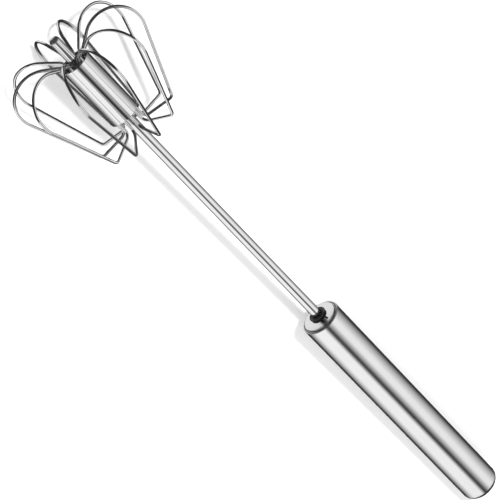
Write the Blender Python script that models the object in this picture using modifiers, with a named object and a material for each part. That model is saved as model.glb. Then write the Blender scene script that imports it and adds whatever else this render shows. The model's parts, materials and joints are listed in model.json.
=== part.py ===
"""Push-down rotary whisk, a one-hand egg beater in stainless steel, lying on a table.

Pressing the handle towards the bowl slides it down the shaft. A twisted strip fixed in the handle
then turns the drive nut on top of the shaft, and so the whisk head; a spring pushes it all back.

Every piece is drawn in the tool's own frame and then laid down by one parent empty:
  local Z  the tool's axis, 0 at the mouth of the head sleeve, growing towards the handle's end
  local X  straight up when the tool lies on the table, so azimuth 0 is the top
In the world, +X runs from the whisk to the handle, +Z is up, and the origin is at the middle of the
footprint, on the table. All sizes are in metres.
"""
import math

import bmesh
import bpy
from mathutils import Matrix, Vector

# --- Driving dimensions -------------------------------------------------------------------------
FIT_GAP = 0.0003            # clearance that two touching pieces keep

# Shaft and foot
SHAFT_RADIUS = 0.0026
SHAFT_WALL = 0.0004
FOOT_Z = -0.016             # tip of the domed foot
SHAFT_TOP_Z = 0.2057

# Whisk head
SLEEVE_RADIUS = 0.0076
SLEEVE_WALL = 0.0004
SLEEVE_LENGTH = 0.036
HUB_THICKNESS = 0.005
HUB_INSET = 0.002           # from the sleeve's end to the hub
HUB_PIN_RADIUS = 0.0006
HUB_PIN_LENGTH = 0.0084

# Wire loops: a D shape in a plane through the axis, as (radius, z) of its arcs' centres
LOOP_COUNT = 10
WIRE_RADIUS = 0.00075
ROOT_RADIUS = 0.0058        # where the wire enters the sleeve
FIRST_LOOP_AZIMUTH = 24.0   # degrees from the top
BELLY_CENTRE = (0.0220, 0.0048)
BELLY_RADIUS = 0.0143
SIDE_ANGLE = 20.8           # degrees that the straight side leans in towards the axis
SIDE_LENGTH = 0.0376
CORNER_RADIUS = 0.0020
SHOULDER_FALL = 8.5         # degrees that the top wire falls towards the sleeve
SHOULDER_RADIUS = 0.0032
FOOT_BEND_RADIUS = 0.0030
FOOT_BEND_Z = 0.0002
FOOT_BEND_TURN = 52.0
WIRE_TAIL = 0.0090          # how far each end of a wire reaches into the sleeve

# Each loop is bent by hand: (lean of its belly, lean of its corner) in degrees, share of full reach
LOOP_SET = (
    (-7, 1, 0.96), (-1, -3, 0.95), (0, 2, 0.98), (-9, -7, 0.98), (-3, -10, 0.96),
    (-8, -2, 0.95), (-2, 1, 0.98), (-4, -4, 0.98), (0, 0, 0.99), (-8, -2, 0.98),
)
LEAN_BLEND = 0.008          # radial distance over which a lean sets in
LOOP_LOW_Z = -0.010         # axial span of a loop, from its belly to its corner
LOOP_SPAN = 0.057

# Handle
HANDLE_RADIUS = 0.0104
HANDLE_WALL = 0.0006
HANDLE_Z = 0.192            # front rim
HANDLE_END_Z = 0.340
END_FILLET = 0.0038
CAP_STEP = 0.0020           # how far the middle of the cap stands out of the handle
CAP_CROWN = 0.0011          # height of the cap's domed face
CAP_FACE_RADIUS = 0.0090
CAP_EDGE = 0.0003           # radius of the face's edge
CAP_PLATE = 0.0006
CAP_BACK = 0.0008           # from the handle's rim to the back of the cap
SLIT_WIDTH = 0.0009
SLIT_SPACING = 0.0027       # between the two slits, which leaves the locking tab
SLIT_INNER = 0.0036
SLIT_OUTER = 0.0074
SLIT_AZIMUTH = -9.0

# Guide bush
BUSH_FLANGE_RADIUS = 0.0046
BUSH_FLANGE = 0.0010
BUSH_FLANGE_STEP = 0.0031   # how far the bush stands out of the handle
BUSH_NECK_RADIUS = 0.0036
BUSH_BODY_RADIUS = 0.0065
BUSH_BODY = 0.0045

# Drive
STRIP_PITCH = 0.028         # handle travel for one turn of the whisk
STRIP_WIDTH = 0.0034
STRIP_THICKNESS = 0.0009
STRIP_LOW_Z = 0.190
STRIP_HIGH_Z = 0.3355
SLOT_GAP = 0.00045          # round the strip in the nut
NUT_RADIUS = 0.0040
NUT_LENGTH = 0.0075
NUT_SOCKET = 0.0035
COLLAR_RADIUS = 0.0048
COLLAR_LENGTH = 0.0025
PISTON_RADIUS = 0.0094
PISTON_PLATE = 0.0016
PISTON_SKIRT = 0.0060
PISTON_WALL = 0.0012
PISTON_BORE = 0.0024
SPRING_RADIUS = 0.0070
SPRING_WIRE_RADIUS = 0.00045
SPRING_TURNS = 14
ANCHOR_RADIUS = 0.0095
ANCHOR_LOW_Z = 0.3265
ANCHOR_HIGH_Z = 0.3365
ANCHOR_PIN_RADIUS = 0.0007
ANCHOR_PIN_LENGTH = 0.0170

# Faceting
TURN_STEPS = 48
SMALL_TURN_STEPS = 32
COIL_POINTS = 10
TWIST_STEP = math.radians(10.0)
MERGE = 0.00001

BORE_RADIUS = SHAFT_RADIUS + FIT_GAP
SLEEVE_BORE = SLEEVE_RADIUS - SLEEVE_WALL
HANDLE_BORE = HANDLE_RADIUS - HANDLE_WALL
CAP_RADIUS = HANDLE_BORE - FIT_GAP
CAP_FACE_Z = HANDLE_Z - CAP_STEP
CAP_BACK_Z = HANDLE_Z + CAP_BACK
BUSH_FLANGE_Z = HANDLE_Z - BUSH_FLANGE_STEP
BUSH_BODY_Z = CAP_BACK_Z + FIT_GAP
COLLAR_Z = BUSH_BODY_Z + BUSH_BODY + FIT_GAP
NUT_Z = SHAFT_TOP_Z + FIT_GAP - NUT_SOCKET
NUT_TOP_Z = NUT_Z + NUT_LENGTH
PISTON_Z = NUT_TOP_Z + FIT_GAP
SPRING_LOW_Z = PISTON_Z + PISTON_PLATE + FIT_GAP + SPRING_WIRE_RADIUS
SPRING_HIGH_Z = ANCHOR_LOW_Z - FIT_GAP - SPRING_WIRE_RADIUS


# --- Modelling helpers --------------------------------------------------------------------------
def clear_scene():
    """Remove every object that the file starts with."""
    for obj in list(bpy.data.objects):
        bpy.data.objects.remove(obj, do_unlink=True)


def new_collection(name):
    """Make a collection in the scene."""
    collection = bpy.data.collections.new(name)
    bpy.context.scene.collection.children.link(collection)
    return collection


def new_material(name, colour, roughness, metallic):
    """Make a Principled material."""
    material = bpy.data.materials.new(name)
    material.use_nodes = True
    shader = material.node_tree.nodes["Principled BSDF"]
    shader.inputs["Base Color"].default_value = (*colour, 1.0)
    shader.inputs["Roughness"].default_value = roughness
    shader.inputs["Metallic"].default_value = metallic
    material.diffuse_color = (*colour, 1.0)
    return material


def new_object(name, data, parent, collection, material=None):
    """Put an object in a collection, under a parent, with its material."""
    obj = bpy.data.objects.new(name, data)
    collection.objects.link(obj)
    obj.parent = parent
    if material is not None:
        data.materials.append(material)
    return obj


def arc(centre, radius, start, end, steps):
    """Points (x, z) on an arc, from one angle to the other in degrees."""
    points = []
    for i in range(steps + 1):
        angle = math.radians(start + (end - start) * i / steps)
        points.append((centre[0] + radius * math.cos(angle), centre[1] + radius * math.sin(angle)))
    return points


def turned(name, outline, parent, collection, material, closed=True, steps=TURN_STEPS):
    """Turn an outline of (radius, z) points about the tool's axis.

    The outline runs down its outer side. An open one starts and ends on the axis.
    """
    mesh = bpy.data.meshes.new(name)
    edges = [(i, i + 1) for i in range(len(outline) - 1)]
    if closed:
        edges.append((len(outline) - 1, 0))
    mesh.from_pydata([(x, 0.0, z) for x, z in outline], edges, [])
    obj = new_object(name, mesh, parent, collection, material)
    screw = obj.modifiers.new("turn", "SCREW")
    screw.axis = "Z"
    screw.steps = steps
    screw.render_steps = steps
    screw.use_merge_vertices = True
    screw.merge_threshold = MERGE
    return obj


def ring(inner, outer, low, high):
    """Outline of a plain ring, for turned()."""
    return [(outer, high), (outer, low), (inner, low), (inner, high)]


def rod(name, radius, length, matrix, parent, collection, material=None):
    """A cylinder of the given length, centred on its matrix and lying along its local Z."""
    mesh = bpy.data.meshes.new(name)
    shape = bmesh.new()
    bmesh.ops.create_cone(shape, cap_ends=True, segments=16, radius1=radius, radius2=radius,
                          depth=length)
    shape.to_mesh(mesh)
    shape.free()
    mesh.shade_smooth()
    mesh.set_sharp_from_angle(angle=math.radians(40.0))
    obj = new_object(name, mesh, parent, collection, material)
    obj.matrix_local = matrix
    return obj


def box_mesh(name, low, high, cuts=0):
    """A box between two corners, with its upright edges cut into cuts + 1 lengths."""
    mesh = bpy.data.meshes.new(name)
    shape = bmesh.new()
    bmesh.ops.create_cube(shape, size=1.0)
    size = [b - a for a, b in zip(low, high)]
    middle = [(a + b) / 2.0 for a, b in zip(low, high)]
    bmesh.ops.scale(shape, vec=size, verts=shape.verts)
    bmesh.ops.translate(shape, vec=middle, verts=shape.verts)
    if cuts:
        upright = [e for e in shape.edges if abs(e.verts[0].co.z - e.verts[1].co.z) > MERGE]
        bmesh.ops.subdivide_edges(shape, edges=upright, cuts=cuts, use_grid_fill=True)
    shape.to_mesh(mesh)
    shape.free()
    return mesh


def twisted_bar(name, width, thickness, low, high, parent, collection, material=None):
    """A flat bar twisted about the axis by one turn in each STRIP_PITCH."""
    twist = math.tau * (high - low) / STRIP_PITCH
    cuts = math.ceil(twist / TWIST_STEP) - 1
    corner = (width / 2.0, thickness / 2.0)
    mesh = box_mesh(name, (-corner[0], -corner[1], low), (corner[0], corner[1], high), cuts)
    obj = new_object(name, mesh, parent, collection, material)
    twister = obj.modifiers.new("twist", "SIMPLE_DEFORM")
    twister.deform_method = "TWIST"
    twister.deform_axis = "Z"
    twister.angle = twist
    return obj


def wire(name, points, radius, parent, collection, material):
    """A round wire through the given points."""
    curve = bpy.data.curves.new(name, "CURVE")
    curve.dimensions = "3D"
    curve.bevel_depth = radius
    curve.bevel_resolution = 2
    curve.use_fill_caps = True
    spline = curve.splines.new("POLY")
    spline.points.add(len(points) - 1)
    for target, point in zip(spline.points, points):
        target.co = (*point, 1.0)
    return new_object(name, curve, parent, collection, material)


def cut(obj, *cutters):
    """Subtract cutters from an object."""
    for cutter in cutters:
        cutter.hide_render = True
        cutter.display_type = "WIRE"
        boolean = obj.modifiers.new("cut", "BOOLEAN")
        boolean.operation = "DIFFERENCE"
        boolean.solver = "EXACT"
        boolean.object = cutter


def about_axis(azimuth):
    """Rotation about the tool's axis, in degrees."""
    return Matrix.Rotation(math.radians(azimuth), 4, "Z")


def across_axis(z, azimuth):
    """Place a rod at height z, square to the tool's axis and pointing along an azimuth."""
    return Matrix.Translation((0.0, 0.0, z)) @ about_axis(azimuth) @ Matrix.Rotation(
        math.radians(90.0), 4, "Y")


# --- Whisk head ---------------------------------------------------------------------------------
def loop_outline():
    """(radius, z) points of one loop, from its lower end in the sleeve round to its upper end."""
    foot_centre = (ROOT_RADIUS + FOOT_BEND_RADIUS, FOOT_BEND_Z)
    foot = arc(foot_centre, FOOT_BEND_RADIUS, 180.0, 180.0 + FOOT_BEND_TURN, 4)
    belly = arc(BELLY_CENTRE, BELLY_RADIUS, FOOT_BEND_TURN - 180.0, SIDE_ANGLE, 14)

    lean = math.radians(SIDE_ANGLE)
    side = Vector((-math.sin(lean), math.cos(lean)))
    inward = Vector((-math.cos(lean), -math.sin(lean)))
    corner_centre = Vector(belly[-1]) + side * SIDE_LENGTH + inward * CORNER_RADIUS
    turn_end = 90.0 + SHOULDER_FALL
    corner = arc(corner_centre, CORNER_RADIUS, SIDE_ANGLE, turn_end, 4)

    shoulder_x = ROOT_RADIUS + SHOULDER_RADIUS
    start_x = shoulder_x + SHOULDER_RADIUS * math.cos(math.radians(turn_end))
    start_z = corner[-1][1] - (corner[-1][0] - start_x) * math.tan(math.radians(SHOULDER_FALL))
    shoulder_z = start_z - SHOULDER_RADIUS * math.sin(math.radians(turn_end))
    shoulder = arc((shoulder_x, shoulder_z), SHOULDER_RADIUS, turn_end, 180.0, 4)

    lower_end = (ROOT_RADIUS, WIRE_TAIL)
    upper_end = (ROOT_RADIUS, SLEEVE_LENGTH - WIRE_TAIL)
    return [lower_end] + foot + belly + corner + shoulder + [upper_end]


def loop_points(azimuth, belly_lean, corner_lean, reach):
    """One loop in space: its outline at an azimuth, leaning as it was bent."""
    points = []
    for radius, z in loop_outline():
        up = min(max((z - LOOP_LOW_Z) / LOOP_SPAN, 0.0), 1.0)
        out = min(max((radius - ROOT_RADIUS) / LEAN_BLEND, 0.0), 1.0)
        angle = math.radians(azimuth + out * (belly_lean * (1.0 - up) + corner_lean * up))
        distance = radius * (1.0 - (1.0 - reach) * out * (1.0 - up))
        points.append(Vector((distance * math.cos(angle), distance * math.sin(angle), z)))
    return points


def all_loops():
    """Points of the ten loops, in order round the axis."""
    step = 360.0 / LOOP_COUNT
    return [loop_points(FIRST_LOOP_AZIMUTH + i * step, *LOOP_SET[i]) for i in range(LOOP_COUNT)]


def hub(name, low, body, parts, cutters, material, pin_cutter):
    """A disc inside the sleeve, with a groove for each wire, pinned to the shaft."""
    rim = SLEEVE_BORE - FIT_GAP
    outline = ring(BORE_RADIUS, rim, low, low + HUB_THICKNESS)
    disc = turned(name, outline, body, parts, material)
    half_width = WIRE_RADIUS + FIT_GAP
    grooves = bmesh.new()
    for i in range(LOOP_COUNT):
        groove = box_mesh(name + "_groove", (ROOT_RADIUS - half_width, -half_width, low - 0.001),
                          (SLEEVE_RADIUS, half_width, low + HUB_THICKNESS + 0.001))
        groove.transform(about_axis(FIRST_LOOP_AZIMUTH + i * 360.0 / LOOP_COUNT))
        grooves.from_mesh(groove)
    mesh = bpy.data.meshes.new(name + "_grooves")
    grooves.to_mesh(mesh)
    grooves.free()
    cut(disc, new_object(name + "_grooves", mesh, body, cutters), pin_cutter)


def build_head(body, parts, cutters, steel, wire_steel, spring_steel, loops):
    """Shaft, sleeve, hubs, pins and wire loops."""
    inner = SHAFT_RADIUS - SHAFT_WALL
    dome_z = FOOT_Z + SHAFT_RADIUS
    shaft_outline = [(0.0, dome_z - inner)]
    shaft_outline += arc((0.0, dome_z), inner, -90.0, 0.0, 3)[1:]
    shaft_outline += [(inner, SHAFT_TOP_Z), (SHAFT_RADIUS, SHAFT_TOP_Z)]
    shaft_outline += arc((0.0, dome_z), SHAFT_RADIUS, 0.0, -90.0, 6)[:-1]
    shaft_outline += [(0.0, FOOT_Z)]
    shaft = turned("shaft_tube", shaft_outline, body, parts, steel, closed=False,
                   steps=SMALL_TURN_STEPS)

    rounding = SLEEVE_WALL / 2.0
    middle = SLEEVE_RADIUS - rounding
    sleeve_outline = arc((middle, SLEEVE_LENGTH - rounding), rounding, 180.0, 0.0, 4)
    sleeve_outline += arc((middle, rounding), rounding, 0.0, -180.0, 4)
    turned("head_sleeve", sleeve_outline, body, parts, steel)

    pin_azimuth = FIRST_LOOP_AZIMUTH + 180.0 / LOOP_COUNT
    hubs = (("lower", HUB_INSET), ("upper", SLEEVE_LENGTH - HUB_INSET - HUB_THICKNESS))
    for side, low in hubs:
        place = across_axis(low + HUB_THICKNESS / 2.0, pin_azimuth)
        pin_hole = rod(side + "_pin_hole", HUB_PIN_RADIUS + FIT_GAP, HUB_PIN_LENGTH + 2 * FIT_GAP,
                       place, body, cutters)
        hub(side + "_hub", low, body, parts, cutters, steel, pin_hole)
        cut(shaft, pin_hole)
        rod(side + "_hub_pin", HUB_PIN_RADIUS, HUB_PIN_LENGTH, place, body, parts, spring_steel)

    for i, points in enumerate(loops):
        wire(f"whisk_wire_{i + 1:02d}", points, WIRE_RADIUS, body, parts, wire_steel)


# --- Drive --------------------------------------------------------------------------------------
def build_drive(body, parts, cutters, steel, plastic):
    """Collar and drive nut, which turn with the shaft."""
    collar = ring(BORE_RADIUS, COLLAR_RADIUS, COLLAR_Z, COLLAR_Z + COLLAR_LENGTH)
    turned("shaft_collar", collar, body, parts, steel, steps=SMALL_TURN_STEPS)

    socket_z = NUT_Z + NUT_SOCKET
    nut_outline = [(0.0, socket_z), (BORE_RADIUS, socket_z), (BORE_RADIUS, NUT_Z),
                   (NUT_RADIUS, NUT_Z), (NUT_RADIUS, NUT_TOP_Z), (0.0, NUT_TOP_Z)]
    nut_outline.reverse()
    nut = turned("drive_nut", nut_outline, body, parts, plastic, closed=False,
                 steps=SMALL_TURN_STEPS)
    slot = twisted_bar("nut_slot", STRIP_WIDTH + 2 * SLOT_GAP, STRIP_THICKNESS + 2 * SLOT_GAP,
                       socket_z - 0.001, NUT_TOP_Z + 0.001, body, cutters)
    cut(nut, slot)


def build_piston(body, parts, plastic):
    """Sliding piston between the turning nut and the spring."""
    top = PISTON_Z + PISTON_PLATE
    skirt_bore = PISTON_RADIUS - PISTON_WALL
    outline = [(PISTON_RADIUS, top), (PISTON_RADIUS, top - PISTON_SKIRT),
               (skirt_bore, top - PISTON_SKIRT), (skirt_bore, PISTON_Z), (PISTON_BORE, PISTON_Z),
               (PISTON_BORE, top)]
    turned("slide_piston", outline, body, parts, plastic)


def cap_outline():
    """(radius, z) points of the pressed cap: a domed face, its side and a rolled edge."""
    bore = BUSH_NECK_RADIUS + FIT_GAP
    bead = (CAP_RADIUS - CAP_FACE_RADIUS) / 2.0
    dome_radius = (CAP_FACE_RADIUS ** 2 + CAP_CROWN ** 2) / (2.0 * CAP_CROWN)
    edge_x = CAP_FACE_RADIUS - CAP_EDGE
    dome_end = math.degrees(math.asin(edge_x / dome_radius)) - 90.0
    dome_start = math.degrees(math.asin(bore / dome_radius)) - 90.0
    dome = arc((0.0, CAP_FACE_Z + dome_radius), dome_radius, dome_end, dome_start, 4)

    inner_x = edge_x - CAP_PLATE
    outline = [(bore, dome[-1][1] + CAP_PLATE), (inner_x, dome[0][1] + CAP_PLATE),
               (inner_x, CAP_BACK_Z), (CAP_RADIUS, CAP_BACK_Z)]
    outline += arc((CAP_RADIUS - bead, HANDLE_Z + bead), bead, 0.0, -180.0, 4)
    outline += arc((edge_x, dome[0][1] + CAP_EDGE), CAP_EDGE, 0.0, dome_end, 2)[:-1]
    return outline + dome


def build_handle(body, parts, cutters, satin, polished, black, spring_steel):
    """Handle tube, its front cap and bush, and the strip, anchor and spring inside it."""
    end_wall_z = HANDLE_END_Z - HANDLE_WALL
    fillet_x = HANDLE_RADIUS - END_FILLET
    fillet_z = HANDLE_END_Z - END_FILLET
    lip = HANDLE_WALL / 2.0
    outline = [(0.0, HANDLE_END_Z)]
    outline += arc((fillet_x, fillet_z), END_FILLET, 90.0, 0.0, 7)
    outline += arc((HANDLE_RADIUS - lip, HANDLE_Z + lip), lip, 0.0, -180.0, 4)
    outline += arc((fillet_x, fillet_z), END_FILLET - HANDLE_WALL, 0.0, 90.0, 3)
    outline += [(0.0, end_wall_z)]
    turned("handle_tube", outline, body, parts, satin, closed=False)

    cap = turned("front_cap", cap_outline(), body, parts, polished)
    for side in (-1, 1):
        middle = side * SLIT_SPACING / 2.0
        mesh = box_mesh("slit", (SLIT_INNER, middle - SLIT_WIDTH / 2.0, CAP_FACE_Z - 0.001),
                        (SLIT_OUTER, middle + SLIT_WIDTH / 2.0, CAP_BACK_Z + 0.001))
        mesh.transform(about_axis(SLIT_AZIMUTH))
        cut(cap, new_object("slit", mesh, body, cutters))

    bush_top = BUSH_BODY_Z + BUSH_BODY
    edge = BUSH_FLANGE / 2.0
    outline = [(BORE_RADIUS, bush_top), (BUSH_BODY_RADIUS, bush_top),
               (BUSH_BODY_RADIUS, BUSH_BODY_Z), (BUSH_NECK_RADIUS, BUSH_BODY_Z),
               (BUSH_NECK_RADIUS, BUSH_FLANGE_Z + BUSH_FLANGE)]
    outline += arc((BUSH_FLANGE_RADIUS - edge, BUSH_FLANGE_Z + edge), edge, 90.0, -90.0, 4)
    outline += [(BORE_RADIUS, BUSH_FLANGE_Z)]
    turned("guide_bush", outline, body, parts, black, steps=SMALL_TURN_STEPS)

    pin_z = (ANCHOR_LOW_Z + ANCHOR_HIGH_Z) / 2.0
    pin_azimuth = 90.0 + math.degrees(math.tau * pin_z / STRIP_PITCH)
    pin_place = across_axis(pin_z, pin_azimuth)
    pin_hole = rod("anchor_pin_hole", ANCHOR_PIN_RADIUS + FIT_GAP, ANCHOR_PIN_LENGTH + 2 * FIT_GAP,
                   pin_place, body, cutters)
    strip = twisted_bar("twisted_strip", STRIP_WIDTH, STRIP_THICKNESS, STRIP_LOW_Z, STRIP_HIGH_Z,
                        body, parts, spring_steel)
    cut(strip, pin_hole)
    rod("anchor_pin", ANCHOR_PIN_RADIUS, ANCHOR_PIN_LENGTH, pin_place, body, parts, spring_steel)

    anchor_outline = [(0.0, ANCHOR_HIGH_Z), (ANCHOR_RADIUS - 0.002, ANCHOR_HIGH_Z),
                      (ANCHOR_RADIUS, ANCHOR_HIGH_Z - 0.002), (ANCHOR_RADIUS, ANCHOR_LOW_Z),
                      (0.0, ANCHOR_LOW_Z)]
    anchor = turned("strip_anchor", anchor_outline, body, parts, black, closed=False)
    slot = twisted_bar("anchor_slot", STRIP_WIDTH + 2 * SLOT_GAP, STRIP_THICKNESS + 2 * SLOT_GAP,
                       ANCHOR_LOW_Z - 0.001, STRIP_HIGH_Z + FIT_GAP, body, cutters)
    cut(anchor, slot, pin_hole)

    coil = []
    coil_steps = SPRING_TURNS * COIL_POINTS
    for i in range(coil_steps + 1):
        angle = math.tau * i / COIL_POINTS
        z = SPRING_LOW_Z + (SPRING_HIGH_Z - SPRING_LOW_Z) * i / coil_steps
        coil.append((SPRING_RADIUS * math.cos(angle), SPRING_RADIUS * math.sin(angle), z))
    wire("return_spring", coil, SPRING_WIRE_RADIUS, body, parts, spring_steel)


# --- Assembly -----------------------------------------------------------------------------------
def new_body(name, parent, collection):
    """An empty on the tool's axis that carries the pieces of one moving body."""
    empty = bpy.data.objects.new(name, None)
    empty.empty_display_size = 0.02
    collection.objects.link(empty)
    empty.parent = parent
    return empty


def resting_slope(loops):
    """Slope of the axis when the lowest loops and the handle's end both touch the table."""
    low, high = 0.0, math.radians(20.0)
    for _ in range(40):
        slope = (low + high) / 2.0
        down = Vector((-math.cos(slope), 0.0, math.sin(slope)))
        loop_reach = max(point.dot(down) for points in loops for point in points) + WIRE_RADIUS
        heel = Vector((END_FILLET - HANDLE_RADIUS, 0.0, HANDLE_END_Z - END_FILLET))
        heel_reach = heel.dot(down) + END_FILLET
        if loop_reach > heel_reach:
            low = slope
        else:
            high = slope
    return slope


def lay_down(tool, slope, parts):
    """Lay the tool along +X on the table, with the middle of its footprint at the origin."""
    drop, run = math.sin(slope), math.cos(slope)
    tilt = Matrix(((drop, 0.0, run), (0.0, -1.0, 0.0), (run, 0.0, -drop)))
    tool.matrix_world = tilt.to_4x4()
    bpy.context.view_layer.update()
    graph = bpy.context.evaluated_depsgraph_get()
    corners = []
    for obj in parts.objects:
        if obj.type == "EMPTY":
            continue
        solid = obj.evaluated_get(graph)
        mesh = solid.to_mesh()
        corners += [solid.matrix_world @ vertex.co for vertex in mesh.vertices]
        solid.to_mesh_clear()
    middle = [(min(c[i] for c in corners) + max(c[i] for c in corners)) / 2.0 for i in (0, 1)]
    floor = min(c.z for c in corners)
    tool.location = (-middle[0], -middle[1], -floor)
    bpy.context.view_layer.update()


def main():
    """Build the whisk."""
    clear_scene()
    parts = new_collection("push_whisk")
    cutters = new_collection("cutters")

    satin = new_material("satin_steel", (0.72, 0.72, 0.73), 0.32, 1.0)
    polished = new_material("polished_steel", (0.80, 0.80, 0.81), 0.10, 1.0)
    wire_steel = new_material("wire_steel", (0.76, 0.76, 0.77), 0.14, 1.0)
    spring_steel = new_material("spring_steel", (0.55, 0.56, 0.58), 0.30, 1.0)
    white = new_material("white_plastic", (0.80, 0.80, 0.78), 0.45, 0.0)
    black = new_material("black_plastic", (0.02, 0.02, 0.02), 0.40, 0.0)

    tool = new_body("tool_axis", None, parts)
    handle = new_body("handle_body", tool, parts)
    slide = new_body("piston_body", handle, parts)
    whisk = new_body("whisk_body", slide, parts)

    loops = all_loops()
    build_head(whisk, parts, cutters, polished, wire_steel, spring_steel, loops)
    build_drive(whisk, parts, cutters, polished, white)
    build_piston(slide, parts, white)
    build_handle(handle, parts, cutters, satin, polished, black, spring_steel)
    lay_down(tool, resting_slope(loops), parts)


main()
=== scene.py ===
"""Looks of the hand-push rotary whisk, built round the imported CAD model.

Every piece seen from outside, and the spring, is drawn again as a fine mesh in the tool's own
frame, as part.py draws it, and then laid down in the world:
  local Z  the tool's axis, 0 at the mouth of the head sleeve, growing towards the handle's end
  local X  up, so azimuth 0 is the top of the tool as it lies on the table
All sizes are in metres.
"""

import json
import math

import bmesh
import bpy
from mathutils import Matrix, Vector


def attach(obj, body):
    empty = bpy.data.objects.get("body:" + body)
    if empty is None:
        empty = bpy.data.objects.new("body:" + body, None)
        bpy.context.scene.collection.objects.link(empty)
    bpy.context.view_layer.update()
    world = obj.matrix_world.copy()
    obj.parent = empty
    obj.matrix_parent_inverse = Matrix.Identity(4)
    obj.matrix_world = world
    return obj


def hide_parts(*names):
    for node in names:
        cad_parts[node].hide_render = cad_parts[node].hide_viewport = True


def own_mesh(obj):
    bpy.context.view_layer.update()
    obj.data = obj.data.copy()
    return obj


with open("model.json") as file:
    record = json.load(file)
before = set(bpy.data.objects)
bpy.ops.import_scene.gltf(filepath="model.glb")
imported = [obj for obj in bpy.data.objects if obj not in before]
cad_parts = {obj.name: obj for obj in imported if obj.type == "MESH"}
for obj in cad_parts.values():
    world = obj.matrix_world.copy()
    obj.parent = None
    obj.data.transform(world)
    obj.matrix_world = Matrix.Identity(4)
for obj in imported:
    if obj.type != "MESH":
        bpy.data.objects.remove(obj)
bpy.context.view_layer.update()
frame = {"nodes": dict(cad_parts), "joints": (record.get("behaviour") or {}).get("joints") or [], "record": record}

# --- Sizes that part.py also uses ---------------------------------------------------------------
FIT_GAP = 0.0003
HANDLE_END_Z = 0.340
SHAFT_WALL = 0.0004
FOOT_Z = -0.016
SLEEVE_WALL = 0.0004
LOOP_COUNT = 10
WIRE_RADIUS = 0.00075
ROOT_RADIUS = 0.0058
FIRST_LOOP_AZIMUTH = 24.0
BELLY_CENTRE = (0.0220, 0.0048)
BELLY_RADIUS = 0.0143
SIDE_ANGLE = 20.8
SIDE_LENGTH = 0.0376
CORNER_RADIUS = 0.0020
SHOULDER_FALL = 8.5
SHOULDER_RADIUS = 0.0032
FOOT_BEND_RADIUS = 0.0030
FOOT_BEND_Z = 0.0002
FOOT_BEND_TURN = 52.0
WIRE_TAIL = 0.0090
LOOP_SET = (
    (-7, 1, 0.96), (-1, -3, 0.95), (0, 2, 0.98), (-9, -7, 0.98), (-3, -10, 0.96),
    (-8, -2, 0.95), (-2, 1, 0.98), (-4, -4, 0.98), (0, 0, 0.99), (-8, -2, 0.98),
)
LEAN_BLEND = 0.008
LOOP_LOW_Z = -0.010
LOOP_SPAN = 0.057
END_FILLET = 0.0038
HANDLE_WALL = 0.0006
CAP_CROWN = 0.0011
CAP_FACE_RADIUS = 0.0090
CAP_EDGE = 0.0003
CAP_PLATE = 0.0006
SLIT_WIDTH = 0.0009
SLIT_SPACING = 0.0027
SLIT_INNER = 0.0036
SLIT_OUTER = 0.0074
SLIT_AZIMUTH = -9.0
BUSH_FLANGE = 0.0010
BUSH_NECK_RADIUS = 0.0036
BUSH_BODY = 0.0045
BUSH_FLANGE_RADIUS = 0.0046
BUSH_BODY_RADIUS = 0.0065
SPRING_RADIUS = 0.0070
SPRING_WIRE_RADIUS = 0.00045
SPRING_TURNS = 14

# --- Sizes of the looks only --------------------------------------------------------------------
HUB_EDGE = 0.0003
BUSH_NOSE = 0.00028         # radius of the bush's rounded nose
BUSH_GROOVE = 0.00035       # depth of the groove round it
CUT_MARGIN = 0.001          # how far a cutter stands out of what it cuts
FACE_SLACK = 0.00002        # keeps the cap's side apart from its rolled edge

# --- Faceting -----------------------------------------------------------------------------------
TURN_STEPS = 144
SMALL_TURN_STEPS = 72
WIRE_SIDES = 20
COIL_POINTS = 40
HANDLE_TURN_STEPS = 192
HUB_TURN_STEPS = 120
BUSH_TURN_STEPS = 96
SPRING_SIDES = 10
SHARP_ANGLE = 35.0          # degrees between faces from which an edge is shaded sharp
WIRE_SHARP_ANGLE = 50.0
END_ROUND = 0.35            # how far a wire's end bulges, in wire radii
AXIS_TOLERANCE = 1e-7       # a point nearer to the axis than this is on it
GUARD = 0.00012             # from a corner to the extra ring that keeps shading off long sides

# --- Camera, from the way the tool narrows and its ends show as ellipses ------------------------
LENS_MM = 160.2
SENSOR_MM = 36.0
CAMERA_DISTANCE = 1.0742
AIM_Z = 0.1357              # the point of the axis that the camera looks at
AIM_ASIDE = -0.0019         # and how far beside it
LEAN_AWAY = 31.0            # degrees that the handle leans away from the picture plane
SIDE_TURN = 1.0             # degrees that the camera stands to +Y of the upright plane
ROLL = 46.07                # degrees below the picture's horizontal at which the axis runs

# --- Light --------------------------------------------------------------------------------------
FILL_LEVEL = 0.95           # soft light on the floor and on matte pieces, mostly from -Y
KEY_DISTANCE = 1.6
KEY_SIZE = 0.19
KEY_ENERGY = 21.0
KEY_ASIDE = 0.33            # how far the key leans to +Y, per unit of height
KEY_TO_HEAD = 0.42          # and towards the whisk head
FILL_HEIGHTS = (0.2, 0.9)   # sines of the height between which the fill grows
FILL_SHARES = (0.35, 1.3)   # and its shares of FILL_LEVEL there
FILL_SIDES = (-0.35, 0.35)  # sines of the angle to +Y between which it falls
FILL_SIDE_SHARES = (1.75, 0.25)

# Steel mirrors two long soft boxes with a narrow gap between them, both towards the handle's end of
# the tool, and a dark room elsewhere. Each box is given by degrees round the tool's axis, from the
# side that faces the camera and positive towards +Y: where it starts, is full, begins to fade and
# ends. The last number is its brightness.
SOFT_BOXES = ((-135, -85, -32, -14, 1.10), (-4, 30, 55, 130, 1.05))
BOX_ENDS = (0.00, 0.12, 0.70, 0.82)     # the same steps towards the handle's end, as sines
SURROUNDINGS = 0.04                     # brightness of the room round the boxes
TABLE_LEVEL = 0.95                      # and of the pale table in front of the cap
TABLE_FACING = -0.84                    # towards the table: its part along the facing side
TABLE_ALONG = -0.545                    # and its part along the axis
TABLE_EDGE = (0.80, 0.92)               # cosines from there at which it starts and is full


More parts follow.
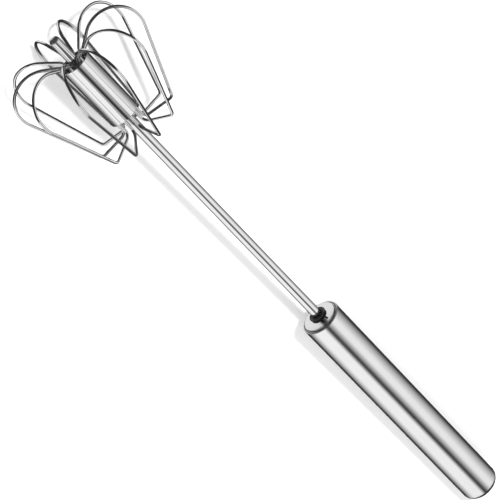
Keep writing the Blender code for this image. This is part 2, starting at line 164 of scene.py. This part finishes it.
# --- The tool's frame ---------------------------------------------------------------------------
def tool_matrix():
    """The tool's own frame in the world, from the joint's axis and the handle's end."""
    axis = Vector(frame["joints"][0]["axis"]).normalized()
    end = next(m for m in frame["record"]["mounts"] if m["name"] == "handle_end")
    origin = Vector(end["pos_m"]) - axis * HANDLE_END_Z
    up = (Vector((0.0, 0.0, 1.0)) - axis * axis.z).normalized()
    side = axis.cross(up)
    matrix = Matrix((up, side, axis)).transposed().to_4x4()
    matrix.translation = origin
    return matrix


TOOL = tool_matrix()
UP, SIDE, AXIS = (TOOL.to_3x3().col[i].copy() for i in range(3))


def span(node):
    """(lowest z, highest z, largest radius) of a CAD node in the tool's frame."""
    inverse = TOOL.inverted()
    points = [inverse @ vertex.co for vertex in frame["nodes"][node].data.vertices]
    heights = [p.z for p in points]
    return min(heights), max(heights), max(math.hypot(p.x, p.y) for p in points)


# --- Mesh helpers -------------------------------------------------------------------------------
def arc(centre, radius, start, end, steps):
    """Points (x, z) on an arc, from one angle to the other in degrees."""
    points = []
    for i in range(steps + 1):
        angle = math.radians(start + (end - start) * i / steps)
        points.append((centre[0] + radius * math.cos(angle), centre[1] + radius * math.sin(angle)))
    return points


def finish_mesh(shape, name, sharp_angle):
    """Turn a bmesh into a smooth-shaded mesh with its faces pointing out."""
    bmesh.ops.recalc_face_normals(shape, faces=shape.faces)
    mesh = bpy.data.meshes.new(name)
    shape.to_mesh(mesh)
    shape.free()
    mesh.shade_smooth()
    mesh.set_sharp_from_angle(angle=math.radians(sharp_angle))
    return mesh


def piece(name, mesh, material, body, slot, *nodes):
    """Lay a mesh drawn in the tool's frame down in the world, to stand for CAD nodes."""
    mesh.transform(TOOL)
    obj = bpy.data.objects.new(name, mesh)
    bpy.context.scene.collection.objects.link(obj)
    mesh.materials.append(material)
    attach(obj, body)
    if nodes:
        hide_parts(*nodes)
    return obj


def with_guards(outline, closed):
    """The outline with extra points just inside each long side, so that shading stays flat there."""
    count = len(outline)
    guarded = []
    for i in range(count if closed else count - 1):
        (x0, z0), (x1, z1) = outline[i], outline[(i + 1) % count]
        guarded.append((x0, z0))
        length = math.hypot(x1 - x0, z1 - z0)
        if length > 4.0 * GUARD:
            for share in (GUARD / length, 1.0 - GUARD / length):
                guarded.append((x0 + (x1 - x0) * share, z0 + (z1 - z0) * share))
    return guarded if closed else guarded + [outline[-1]]


def lathe(name, outline, closed=True, steps=TURN_STEPS):
    """Turn an outline of (radius, z) points about the tool's axis."""
    shape = bmesh.new()
    rings = []
    for x, z in with_guards(outline, closed):
        if x < AXIS_TOLERANCE:
            rings.append([shape.verts.new((0.0, 0.0, z))])
            continue
        angles = [math.tau * i / steps for i in range(steps)]
        rings.append([shape.verts.new((x * math.cos(a), x * math.sin(a), z)) for a in angles])
    pairs = list(zip(rings, rings[1:]))
    if closed:
        pairs.append((rings[-1], rings[0]))
    for low, high in pairs:
        for i in range(steps):
            j = (i + 1) % steps
            corners = [low[i % len(low)], low[j % len(low)], high[j % len(high)],
                       high[i % len(high)]]
            unique = list(dict.fromkeys(corners))
            if len(unique) > 2:
                shape.faces.new(unique)
    return finish_mesh(shape, name, SHARP_ANGLE)


def sweep(name, points, radius, sides=WIRE_SIDES):
    """A round wire through the points, with its ends a little rounded."""
    count = len(points)
    tangents = [(points[min(i + 1, count - 1)] - points[max(i - 1, 0)]).normalized()
                for i in range(count)]
    across = tangents[0].orthogonal().normalized()
    shape = bmesh.new()
    rings = []
    for point, tangent in zip(points, tangents):
        across = (across - tangent * across.dot(tangent)).normalized()
        other = tangent.cross(across)
        ring = []
        for k in range(sides):
            angle = math.tau * k / sides
            offset = (across * math.cos(angle) + other * math.sin(angle)) * radius
            ring.append(shape.verts.new(point + offset))
        rings.append(ring)
    for low, high in zip(rings, rings[1:]):
        for k in range(sides):
            m = (k + 1) % sides
            shape.faces.new((low[k], low[m], high[m], high[k]))
    for ring, point, outward in ((rings[0], points[0], -tangents[0]),
                                 (rings[-1], points[-1], tangents[-1])):
        tip = shape.verts.new(point + outward * radius * END_ROUND)
        for k in range(sides):
            shape.faces.new((ring[k], ring[(k + 1) % sides], tip))
    return finish_mesh(shape, name, WIRE_SHARP_ANGLE)


# --- Materials ----------------------------------------------------------------------------------
SMEAR_GRAIN = (0.012, 0.012, 0.018)     # size of faint smears on steel, along X, Y and Z
PLASTIC_GRAIN = (0.0003, 0.0003, 0.0003)
SCUFF_GRAIN = (0.003, 0.003, 0.003)
BUMP_DISTANCE = 0.00002


def new_material(name):
    """A Principled material and its nodes."""
    material = bpy.data.materials.new(name)
    material.use_nodes = True
    tree = material.node_tree
    return material, tree, tree.nodes["Principled BSDF"]


def add(tree, kind, inputs=None, **settings):
    """Add a node, set its properties and its inputs; an input that is a socket is linked."""
    node = tree.nodes.new(kind)
    for key, value in settings.items():
        setattr(node, key, value)
    for key, value in (inputs or {}).items():
        if isinstance(value, bpy.types.NodeSocket):
            tree.links.new(value, node.inputs[key])
        else:
            node.inputs[key].default_value = value
    return node


def math_node(tree, operation, first, second):
    """One Math node; returns its output."""
    return add(tree, "ShaderNodeMath", {0: first, 1: second}, operation=operation).outputs[0]


def map_range(tree, value, low, high, to_low, to_high):
    """Clamp a value between two limits and map it on to two others."""
    node = add(tree, "ShaderNodeMapRange",
               {"Value": value, "From Min": low, "From Max": high, "To Min": to_low,
                "To Max": to_high})
    return node.outputs["Result"]


def vector_math(tree, operation, first, second):
    """One Vector Math node; returns the node."""
    return add(tree, "ShaderNodeVectorMath", {0: first, 1: second}, operation=operation)


def tool_space(tree, lengths):
    """Coordinates in the tool's frame, counted in the given lengths along X, Y and Z."""
    source = add(tree, "ShaderNodeTexCoord").outputs["Object"]
    node = add(tree, "ShaderNodeMapping",
               {"Vector": source, "Location": TOOL.translation, "Rotation": TOOL.to_euler(),
                "Scale": lengths}, vector_type="TEXTURE")
    return node.outputs["Vector"]


def noise(tree, vector, detail=4.0, roughness=0.6):
    """A noise texture's value, about 0.5, with features one unit long."""
    node = add(tree, "ShaderNodeTexNoise",
               {"Vector": vector, "Scale": 1.0, "Detail": detail, "Roughness": roughness})
    return node.outputs["Fac"]


def turning_marks(tree, length, detail=4.0):
    """Noise that depends only on the distance from the tool's axis: turning marks."""
    across = vector_math(tree, "MULTIPLY", tool_space(tree, (length, length, length)),
                         (1.0, 1.0, 0.0)).outputs["Vector"]
    distance = add(tree, "ShaderNodeVectorMath", {0: across}, operation="LENGTH")
    node = add(tree, "ShaderNodeTexNoise", {"W": distance.outputs["Value"], "Scale": 1.0,
                                            "Detail": detail}, noise_dimensions="1D")
    return node.outputs["Fac"]


def blend(tree, first, second, share):
    """Weighted sum of two values; share is the second's weight."""
    return math_node(tree, "ADD", math_node(tree, "MULTIPLY", first, 1.0 - share),
                     math_node(tree, "MULTIPLY", second, share))


def tint(tree, factor, dark, light):
    """Mix two colours by a factor."""
    node = add(tree, "ShaderNodeMix", {"Factor": factor, "A": (*dark, 1.0), "B": (*light, 1.0)},
               data_type="RGBA")
    return node.outputs["Result"]


def steel(name, shade, roughness, grain, bump, turned_marks=0.0, brushed=0.0):
    """Stainless steel: streaks of its last finishing pass, faint smears and fine scratches.

    grain is the size of the streaks across, across and along the tool's axis. turned_marks is the
    length of rings about the axis that go over them. brushed spreads the reflections along the
    axis, as brushing round the tube does.
    """
    material, tree, shader = new_material(name)
    fine = noise(tree, tool_space(tree, grain), 5.0, 0.7)
    broad = noise(tree, tool_space(tree, tuple(5.0 * length for length in grain)), 3.0)
    smear = noise(tree, tool_space(tree, SMEAR_GRAIN), 3.0, 0.5)
    streaks = blend(tree, fine, broad, 0.4)
    if turned_marks:
        streaks = blend(tree, streaks, turning_marks(tree, turned_marks), 0.7)
    mixed = blend(tree, streaks, smear, 0.3)

    dark = tuple(c * 0.95 for c in shade)
    light = tuple(min(c * 1.04, 1.0) for c in shade)
    colour = tint(tree, map_range(tree, mixed, 0.35, 0.65, 0.0, 1.0), dark, light)
    tree.links.new(colour, shader.inputs["Base Color"])
    rough = map_range(tree, mixed, 0.3, 0.7, roughness * 0.85, roughness * 1.15)
    tree.links.new(rough, shader.inputs["Roughness"])
    shader.inputs["Metallic"].default_value = 1.0
    bumper = add(tree, "ShaderNodeBump",
                 {"Height": streaks, "Strength": bump, "Distance": BUMP_DISTANCE})
    tree.links.new(bumper.outputs["Normal"], shader.inputs["Normal"])
    if brushed:
        source = add(tree, "ShaderNodeTexCoord").outputs["Object"]
        offset = vector_math(tree, "SUBTRACT", source, TOOL.translation).outputs["Vector"]
        around = vector_math(tree, "CROSS_PRODUCT", AXIS, offset).outputs["Vector"]
        tree.links.new(around, shader.inputs["Tangent"])
        shader.inputs["Anisotropic"].default_value = brushed
        shader.inputs["Anisotropic Rotation"].default_value = 0.25
    return material


def plastic(name, colour, roughness, speckle):
    """Moulded plastic with a fine moulded grain and a little scuffing."""
    material, tree, shader = new_material(name)
    grain = noise(tree, tool_space(tree, PLASTIC_GRAIN), 3.0)
    scuff = noise(tree, tool_space(tree, SCUFF_GRAIN), 5.0, 0.65)
    light = tuple(min(c + speckle, 1.0) for c in colour)
    shade = tint(tree, map_range(tree, scuff, 0.45, 0.75, 0.0, 1.0), colour, light)
    tree.links.new(shade, shader.inputs["Base Color"])
    rough = map_range(tree, scuff, 0.3, 0.7, roughness * 0.8, roughness * 1.25)
    tree.links.new(rough, shader.inputs["Roughness"])
    bumper = add(tree, "ShaderNodeBump",
                 {"Height": grain, "Strength": 0.2, "Distance": BUMP_DISTANCE})
    tree.links.new(bumper.outputs["Normal"], shader.inputs["Normal"])
    return material


STEEL_SHADE = (0.79, 0.79, 0.795)
ROUND_GRAIN = (0.02, 0.02, 0.00025)
LONG_GRAIN = (0.0006, 0.0006, 0.03)
SATIN = steel("satin_steel", STEEL_SHADE, 0.19, ROUND_GRAIN, 0.30, brushed=0.55)
MIRROR = steel("mirror_steel", STEEL_SHADE, 0.04, LONG_GRAIN, 0.05)
SHAFT_STEEL = steel("shaft_steel", STEEL_SHADE, 0.03, LONG_GRAIN, 0.03)
FOOT_STEEL = steel("foot_steel", STEEL_SHADE, 0.30, (0.001, 0.001, 0.001), 0.15)
CAP_STEEL = steel("cap_steel", STEEL_SHADE, 0.22, (0.002, 0.002, 0.002), 0.55,
                  turned_marks=0.0009)
RIM_STEEL = steel("rim_steel", STEEL_SHADE, 0.45, (0.001, 0.001, 0.001), 0.20)
HUB_STEEL = steel("hub_steel", STEEL_SHADE, 0.22, (0.001, 0.001, 0.001), 0.30,
                  turned_marks=0.0006)
WIRE_STEEL = steel("wire_steel", STEEL_SHADE, 0.03, (0.0015, 0.0015, 0.0015), 0.05)
INNER_STEEL = steel("inner_steel", (0.55, 0.56, 0.58), 0.32, (0.0007, 0.0007, 0.003), 0.3)
BLACK = plastic("black_plastic", (0.010, 0.010, 0.010), 0.25, 0.015)
WHITE = plastic("white_plastic", (0.78, 0.78, 0.75), 0.45, 0.05)


# --- Whisk head ---------------------------------------------------------------------------------
def loop_outline(sleeve_top):
    """(radius, z) points of one loop, from its lower end in the sleeve round to its upper end."""
    foot_centre = (ROOT_RADIUS + FOOT_BEND_RADIUS, FOOT_BEND_Z)
    foot = arc(foot_centre, FOOT_BEND_RADIUS, 180.0, 180.0 + FOOT_BEND_TURN, 12)
    belly = arc(BELLY_CENTRE, BELLY_RADIUS, FOOT_BEND_TURN - 180.0, SIDE_ANGLE, 56)

    lean = math.radians(SIDE_ANGLE)
    side = Vector((-math.sin(lean), math.cos(lean)))
    inward = Vector((-math.cos(lean), -math.sin(lean)))
    corner_centre = Vector(belly[-1]) + side * SIDE_LENGTH + inward * CORNER_RADIUS
    turn_end = 90.0 + SHOULDER_FALL
    corner = arc(corner_centre, CORNER_RADIUS, SIDE_ANGLE, turn_end, 12)

    shoulder_x = ROOT_RADIUS + SHOULDER_RADIUS
    start_x = shoulder_x + SHOULDER_RADIUS * math.cos(math.radians(turn_end))
    start_z = corner[-1][1] - (corner[-1][0] - start_x) * math.tan(math.radians(SHOULDER_FALL))
    shoulder_z = start_z - SHOULDER_RADIUS * math.sin(math.radians(turn_end))
    shoulder = arc((shoulder_x, shoulder_z), SHOULDER_RADIUS, turn_end, 180.0, 12)

    lower_end = (ROOT_RADIUS, WIRE_TAIL)
    upper_end = (ROOT_RADIUS, sleeve_top - WIRE_TAIL)
    return [lower_end] + foot + belly + corner + shoulder + [upper_end]


def loop_points(outline, azimuth, belly_lean, corner_lean, reach):
    """One loop in space: its outline at an azimuth, leaning as it was bent."""
    points = []
    for radius, z in outline:
        up = min(max((z - LOOP_LOW_Z) / LOOP_SPAN, 0.0), 1.0)
        out = min(max((radius - ROOT_RADIUS) / LEAN_BLEND, 0.0), 1.0)
        angle = math.radians(azimuth + out * (belly_lean * (1.0 - up) + corner_lean * up))
        distance = radius * (1.0 - (1.0 - reach) * out * (1.0 - up))
        points.append(Vector((distance * math.cos(angle), distance * math.sin(angle), z)))
    return points


def cut_away(mesh, cutter_mesh):
    """The mesh less the cutter's, both in the same frame."""
    scene = bpy.context.scene
    obj = bpy.data.objects.new("blank", mesh)
    cutter = bpy.data.objects.new("cutter", cutter_mesh)
    scene.collection.objects.link(obj)
    scene.collection.objects.link(cutter)
    boolean = obj.modifiers.new("cut", "BOOLEAN")
    boolean.operation = "DIFFERENCE"
    boolean.solver = "EXACT"
    boolean.object = cutter
    bpy.context.view_layer.update()
    graph = bpy.context.evaluated_depsgraph_get()
    result = bpy.data.meshes.new_from_object(obj.evaluated_get(graph))
    result.shade_smooth()
    result.set_sharp_from_angle(angle=math.radians(SHARP_ANGLE))
    for spent in (obj, cutter):
        bpy.data.objects.remove(spent, do_unlink=True)
    return result


def boxes_mesh(boxes):
    """One mesh of boxes, each given by its low and high corner and an azimuth in degrees."""
    shape = bmesh.new()
    for low, high, azimuth in boxes:
        made = bmesh.ops.create_cube(shape, size=1.0)["verts"]
        size = [b - a for a, b in zip(low, high)]
        middle = [(a + b) / 2.0 for a, b in zip(low, high)]
        bmesh.ops.scale(shape, vec=size, verts=made)
        bmesh.ops.translate(shape, vec=middle, verts=made)
        bmesh.ops.transform(shape, matrix=Matrix.Rotation(math.radians(azimuth), 4, "Z"),
                            verts=made)
    mesh = bpy.data.meshes.new("cutter")
    shape.to_mesh(mesh)
    shape.free()
    return mesh


def build_shaft():
    """The polished tube with its domed foot."""
    _, top, radius = span("shaft_tube")
    inner = radius - SHAFT_WALL
    dome_z = FOOT_Z + radius
    outline = [(0.0, dome_z - inner)] + arc((0.0, dome_z), inner, -90.0, 0.0, 8)[1:]
    outline += [(inner, top), (radius, top)]
    outline += arc((0.0, dome_z), radius, 0.0, -90.0, 16)[:-1] + [(0.0, FOOT_Z)]
    mesh = lathe("shaft", outline, closed=False, steps=SMALL_TURN_STEPS)
    for polygon in mesh.polygons:
        if polygon.center.z < dome_z:
            polygon.material_index = 1
    shaft = piece("shaft", mesh, SHAFT_STEEL, "whisk", "polished_steel", "shaft_tube")
    shaft.data.materials.append(FOOT_STEEL)


def build_sleeve():
    """The polished sleeve with its rolled edges."""
    low, top, radius = span("head_sleeve")
    rounding = SLEEVE_WALL / 2.0
    middle = radius - rounding
    outline = arc((middle, top - rounding), rounding, 180.0, 0.0, 8)
    outline += arc((middle, low + rounding), rounding, 0.0, -180.0, 8)
    piece("sleeve", lathe("sleeve", outline), MIRROR, "whisk", "polished_steel", "head_sleeve")
    return top


def build_hubs():
    """The grooved discs that hold the wires."""
    _, _, shaft_radius = span("shaft_tube")
    half_width = WIRE_RADIUS + FIT_GAP
    for node in ("lower_hub", "upper_hub"):
        low, top, rim = span(node)
        bore = shaft_radius + FIT_GAP
        outline = [(bore, top), (bore, low), (rim - HUB_EDGE, low), (rim, low + HUB_EDGE),
                   (rim, top - HUB_EDGE), (rim - HUB_EDGE, top)]
        grooves = []
        for i in range(LOOP_COUNT):
            azimuth = FIRST_LOOP_AZIMUTH + i * 360.0 / LOOP_COUNT
            grooves.append(((ROOT_RADIUS - half_width, -half_width, low - CUT_MARGIN),
                            (rim + CUT_MARGIN, half_width, top + CUT_MARGIN), azimuth))
        mesh = cut_away(lathe(node, outline, steps=HUB_TURN_STEPS), boxes_mesh(grooves))
        piece(node + "_disc", mesh, HUB_STEEL, "whisk", "polished_steel", node)


def build_wires(sleeve_top):
    """The ten wire loops."""
    outline = loop_outline(sleeve_top)
    for i, bend in enumerate(LOOP_SET):
        azimuth = FIRST_LOOP_AZIMUTH + i * 360.0 / LOOP_COUNT
        points = loop_points(outline, azimuth, *bend)
        name = f"wire_loop_{i + 1:02d}"
        mesh = sweep(name, points, WIRE_RADIUS)
        piece(name, mesh, WIRE_STEEL, "whisk", "wire_steel", f"whisk_wire_{i + 1:02d}")


# --- Handle -------------------------------------------------------------------------------------
def build_handle():
    """The satin tube, closed at its end, with a rounded front lip."""
    low, end, radius = span("handle_tube")
    fillet_x = radius - END_FILLET
    fillet_z = end - END_FILLET
    lip = HANDLE_WALL / 2.0
    outline = [(0.0, end)] + arc((fillet_x, fillet_z), END_FILLET, 90.0, 0.0, 20)
    outline += arc((radius - lip, low + lip), lip, 0.0, -180.0, 10)
    outline += arc((fillet_x, fillet_z), END_FILLET - HANDLE_WALL, 0.0, 90.0, 8)
    outline += [(0.0, end - HANDLE_WALL)]
    mesh = lathe("handle", outline, closed=False, steps=HANDLE_TURN_STEPS)
    piece("handle", mesh, SATIN, "handle", "satin_steel", "handle_tube")
    return low


def cap_outline(rim_z):
    """(radius, z) points of the pressed cap: a domed face, its side and a rolled edge."""
    face_z, back_z, radius = span("front_cap")
    bore = BUSH_NECK_RADIUS + FIT_GAP
    bead = (radius - CAP_FACE_RADIUS) / 2.0
    dome_radius = (CAP_FACE_RADIUS ** 2 + CAP_CROWN ** 2) / (2.0 * CAP_CROWN)
    edge_x = CAP_FACE_RADIUS - CAP_EDGE
    dome_end = math.degrees(math.asin(edge_x / dome_radius)) - 90.0
    dome_start = math.degrees(math.asin(bore / dome_radius)) - 90.0
    crown_z = face_z - dome_radius * (1.0 + math.sin(math.radians(dome_start)))
    dome = arc((0.0, crown_z + dome_radius), dome_radius, dome_end, dome_start, 24)

    inner_x = edge_x - CAP_PLATE
    outline = [(bore, dome[-1][1] + CAP_PLATE), (inner_x, dome[0][1] + CAP_PLATE),
               (inner_x, back_z), (radius, back_z)]
    outline += arc((radius - bead, rim_z + bead), bead, 0.0, -180.0, 16)
    outline += arc((edge_x, dome[0][1] + CAP_EDGE), CAP_EDGE, 0.0, dome_end, 8)[:-1]
    return outline + dome, face_z, back_z


def build_cap(rim_z):
    """The pressed cap, with two slits beside the locking tab."""
    outline, face_z, back_z = cap_outline(rim_z)
    slits = []
    for side in (-1, 1):
        middle = side * SLIT_SPACING / 2.0
        slits.append(((SLIT_INNER, middle - SLIT_WIDTH / 2.0, face_z - CUT_MARGIN),
                      (SLIT_OUTER, middle + SLIT_WIDTH / 2.0, back_z + CUT_MARGIN),
                      SLIT_AZIMUTH))
    mesh = cut_away(lathe("cap", outline), boxes_mesh(slits))
    side_start = CAP_FACE_RADIUS - CAP_EDGE
    for polygon in mesh.polygons:
        distance = math.hypot(polygon.center.x, polygon.center.y)
        if distance > side_start:
            polygon.material_index = 1 if distance < CAP_FACE_RADIUS + FACE_SLACK else 2
    cap = piece("cap", mesh, CAP_STEEL, "handle", "polished_steel", "front_cap")
    cap.data.materials.append(MIRROR)
    cap.data.materials.append(RIM_STEEL)


def build_bush():
    """The black bush that guides the shaft: a rounded rim, a groove and a nose round the bore."""
    low, top, _ = span("guide_bush")
    _, _, shaft_radius = span("shaft_tube")
    bore = shaft_radius + FIT_GAP
    body_z = top - BUSH_BODY
    edge = BUSH_FLANGE / 2.0
    groove_z = low + BUSH_GROOVE
    outline = [(bore, top), (BUSH_BODY_RADIUS, top), (BUSH_BODY_RADIUS, body_z),
               (BUSH_NECK_RADIUS, body_z), (BUSH_NECK_RADIUS, low + BUSH_FLANGE)]
    outline += arc((BUSH_FLANGE_RADIUS - edge, low + edge), edge, 90.0, -90.0, 14)
    outline += arc((BUSH_FLANGE_RADIUS - edge, groove_z), groove_z - low, -90.0, -180.0, 6)[1:]
    nose_x = bore + BUSH_NOSE
    outline += [(nose_x + BUSH_NOSE, groove_z)]
    outline += arc((nose_x, low + BUSH_NOSE), BUSH_NOSE, 0.0, -180.0, 10)
    mesh = lathe("bush", outline, steps=BUSH_TURN_STEPS)
    piece("bush", mesh, BLACK, "handle", "black_plastic", "guide_bush")


def build_spring():
    """The return spring, drawn at the CAD node's length; in the real tool it shortens as the handle is pushed."""
    low, top, _ = span("return_spring")
    low += SPRING_WIRE_RADIUS
    top -= SPRING_WIRE_RADIUS
    steps = SPRING_TURNS * COIL_POINTS
    points = []
    for i in range(steps + 1):
        angle = math.tau * i / COIL_POINTS
        points.append(Vector((SPRING_RADIUS * math.cos(angle), SPRING_RADIUS * math.sin(angle),
                              low + (top - low) * i / steps)))
    mesh = sweep("spring", points, SPRING_WIRE_RADIUS, sides=SPRING_SIDES)
    obj = piece("spring", mesh, INNER_STEEL, "handle", "spring_steel", "return_spring")
    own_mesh(obj)


def dress_inner_nodes():
    """Give the CAD pieces that stay their materials."""
    finishes = {"twisted_strip": INNER_STEEL, "anchor_pin": INNER_STEEL,
                "lower_hub_pin": INNER_STEEL, "upper_hub_pin": INNER_STEEL,
                "shaft_collar": HUB_STEEL, "strip_anchor": BLACK, "drive_nut": WHITE,
                "slide_piston": WHITE}
    for node, material in finishes.items():
        mesh = frame["nodes"][node].data
        mesh.materials.clear()
        mesh.materials.append(material)


# --- Studio -------------------------------------------------------------------------------------
def camera_axes():
    """Unit vectors in the world: the camera's right, up and back, and two square to the axis.

    Of those two, facing is on the camera's side of the tool and aside points to +Y.
    """
    turn = math.radians(SIDE_TURN)
    across = -SIDE
    facing = UP * math.cos(turn) + across * math.sin(turn)
    aside = across * math.cos(turn) - UP * math.sin(turn)
    lean = math.radians(LEAN_AWAY)
    back = facing * math.cos(lean) - AXIS * math.sin(lean)
    along = AXIS * math.cos(lean) + facing * math.sin(lean)
    roll = math.radians(ROLL)
    right = along * math.cos(roll) + aside * math.sin(roll)
    up = aside * math.cos(roll) - along * math.sin(roll)
    return right, up, back, facing, aside


def build_camera():
    """The camera at the photograph's angle."""
    right, up, back, _, aside = camera_axes()
    data = bpy.data.cameras.new("camera")
    data.lens = LENS_MM
    data.sensor_width = SENSOR_MM
    data.clip_start = 0.05
    data.clip_end = 50.0
    camera = bpy.data.objects.new("camera", data)
    bpy.context.scene.collection.objects.link(camera)
    matrix = Matrix((right, up, back)).transposed().to_4x4()
    aim = TOOL @ Vector((0.0, 0.0, AIM_Z)) + aside * AIM_ASIDE
    matrix.translation = aim + back * CAMERA_DISTANCE
    camera.matrix_world = matrix
    bpy.context.scene.camera = camera


def soft_edges(tree, value, start, full, fade, end):
    """1 between full and fade, falling softly to 0 at start and at end."""
    rise = map_range(tree, value, start, full, 0.0, 1.0)
    fall = map_range(tree, value, fade, end, 1.0, 0.0)
    return math_node(tree, "MULTIPLY", rise, fall)


def mix_grey(tree, factor, first, second):
    """Mix two colours, or a colour and a grey level."""
    sides = [(side, side, side, 1.0) if isinstance(side, float) else side
             for side in (first, second)]
    node = add(tree, "ShaderNodeMix", {"Factor": factor, "A": sides[0], "B": sides[1]},
               data_type="RGBA")
    return node.outputs["Result"]


def build_world():
    """The room: soft boxes for gloss, softer light from -Y for the rest, white for the camera.

    Each kind of ray sees its own part of it, so the boxes show in reflections only.
    """
    world = bpy.data.worlds.new("studio")
    bpy.context.scene.world = world
    world.use_nodes = True
    tree = world.node_tree
    tree.nodes.clear()
    _, _, _, facing, aside = camera_axes()
    direction = add(tree, "ShaderNodeTexCoord").outputs["Generated"]

    def component(vector):
        return vector_math(tree, "DOT_PRODUCT", direction, tuple(vector)).outputs["Value"]

    turn = math_node(tree, "ARCTAN2", component(aside), component(facing))
    degrees = math_node(tree, "MULTIPLY", turn, 180.0 / math.pi)
    ends = soft_edges(tree, component(AXIS), *BOX_ENDS)
    boxes = SURROUNDINGS
    for *edges, level in SOFT_BOXES:
        share = math_node(tree, "MULTIPLY", soft_edges(tree, degrees, *edges), ends)
        boxes = mix_grey(tree, share, boxes, level)
    table = (facing * TABLE_FACING + AXIS * TABLE_ALONG).normalized()
    table_glow = map_range(tree, component(table), *TABLE_EDGE, 0.0, 1.0)
    boxes = mix_grey(tree, table_glow, boxes, TABLE_LEVEL)

    height = component(Vector((0.0, 0.0, 1.0)))
    levels = [FILL_LEVEL * share for share in FILL_SHARES]
    overhead = map_range(tree, height, *FILL_HEIGHTS, *levels)
    one_side = map_range(tree, component(aside), *FILL_SIDES, *FILL_SIDE_SHARES)
    fill = math_node(tree, "MULTIPLY", overhead, one_side)
    path = add(tree, "ShaderNodeLightPath")
    plain = mix_grey(tree, path.outputs["Is Camera Ray"], fill, 1.0)
    shown = mix_grey(tree, path.outputs["Is Glossy Ray"], plain, boxes)
    background = add(tree, "ShaderNodeBackground", {"Color": shown, "Strength": 1.0})
    output = add(tree, "ShaderNodeOutputWorld")
    tree.links.new(background.outputs[0], output.inputs["Surface"])


def build_floor():
    """A plain pale floor, left out of reflections, which show the studio instead."""
    shape = bmesh.new()
    bmesh.ops.create_grid(shape, x_segments=8, y_segments=8, size=4.0)
    mesh = bpy.data.meshes.new("floor")
    shape.to_mesh(mesh)
    shape.free()
    floor = bpy.data.objects.new("floor", mesh)
    bpy.context.scene.collection.objects.link(floor)
    material, tree, shader = new_material("pale_floor")
    mottling = noise(tree, add(tree, "ShaderNodeTexCoord").outputs["Object"], 2.0, 0.5)
    colour = tint(tree, mottling, (0.90, 0.90, 0.90), (0.92, 0.92, 0.92))
    tree.links.new(colour, shader.inputs["Base Color"])
    shader.inputs["Roughness"].default_value = 0.9
    shader.inputs["Specular IOR Level"].default_value = 0.0
    mesh.materials.append(material)
    floor.visible_glossy = False


def build_key_light():
    """The key light, from +Y and the head's side, which throws a light soft shadow."""
    _, _, _, _, aside = camera_axes()
    data = bpy.data.lights.new("key", "AREA")
    data.shape = "DISK"
    data.size = KEY_SIZE
    data.energy = KEY_ENERGY
    key = bpy.data.objects.new("key", data)
    bpy.context.scene.collection.objects.link(key)
    towards = (aside * KEY_ASIDE + Vector((0.0, 0.0, 1.0)) - AXIS * KEY_TO_HEAD).normalized()
    key.location = towards * KEY_DISTANCE
    key.rotation_mode = "QUATERNION"
    key.rotation_quaternion = towards.to_track_quat("Z", "Y")
    key.visible_glossy = False
    key.visible_camera = False


def main():
    """Build the whisk and its studio."""
    build_camera()
    build_shaft()
    sleeve_top = build_sleeve()
    build_hubs()
    build_wires(sleeve_top)
    front_z = build_handle()
    build_cap(front_z)
    build_bush()
    build_spring()
    dress_inner_nodes()
    build_world()
    build_floor()
    build_key_light()
    bpy.context.scene.view_settings.view_transform = "Standard"


main()
